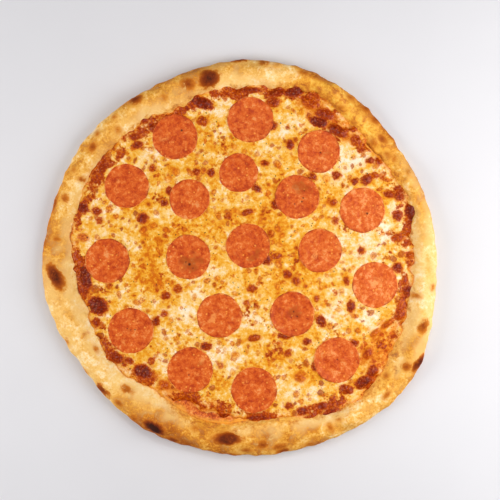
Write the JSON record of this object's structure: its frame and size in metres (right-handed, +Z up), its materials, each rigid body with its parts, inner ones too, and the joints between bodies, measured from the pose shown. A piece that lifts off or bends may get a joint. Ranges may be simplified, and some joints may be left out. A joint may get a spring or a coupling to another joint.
{
  "type": "pepperoni pizza",
  "caption": "Whole round pizza with a puffed, browned rim, tomato sauce, melted and blistered cheese, and round slices of pepperoni.",
  "frame": {"origin": "middle of the flat underside, on the surface that the pizza rests on", "axes": "+Z up through the toppings; +Y towards the far side, and +X to the right, as seen from above"},
  "size_m": [0.3299, 0.3306, 0.0187],
  "materials": {
    "crust": "baked dough: pale gold, browned and charred in spots, dry and matt",
    "sauce": "cooked tomato sauce: orange-red to red-brown, moist",
    "cheese": "melted cheese: cream and yellow with browned blisters, oily sheen",
    "pepperoni": "cured sausage: mottled orange-red, oily sheen"
  },
  "bodies": {
    "root": {"crust": "crust", "sauce": "sauce", "cheese": "cheese", "pepperoni_01": "pepperoni", "pepperoni_02": "pepperoni", "pepperoni_03": "pepperoni", "pepperoni_04": "pepperoni", "pepperoni_05": "pepperoni", "pepperoni_06": "pepperoni", "pepperoni_07": "pepperoni", "pepperoni_08": "pepperoni", "pepperoni_09": "pepperoni", "pepperoni_10": "pepperoni", "pepperoni_11": "pepperoni", "pepperoni_12": "pepperoni", "pepperoni_13": "pepperoni", "pepperoni_14": "pepperoni", "pepperoni_15": "pepperoni", "pepperoni_16": "pepperoni", "pepperoni_17": "pepperoni", "pepperoni_18": "pepperoni", "pepperoni_19": "pepperoni"}
  },
  "joints": []
}
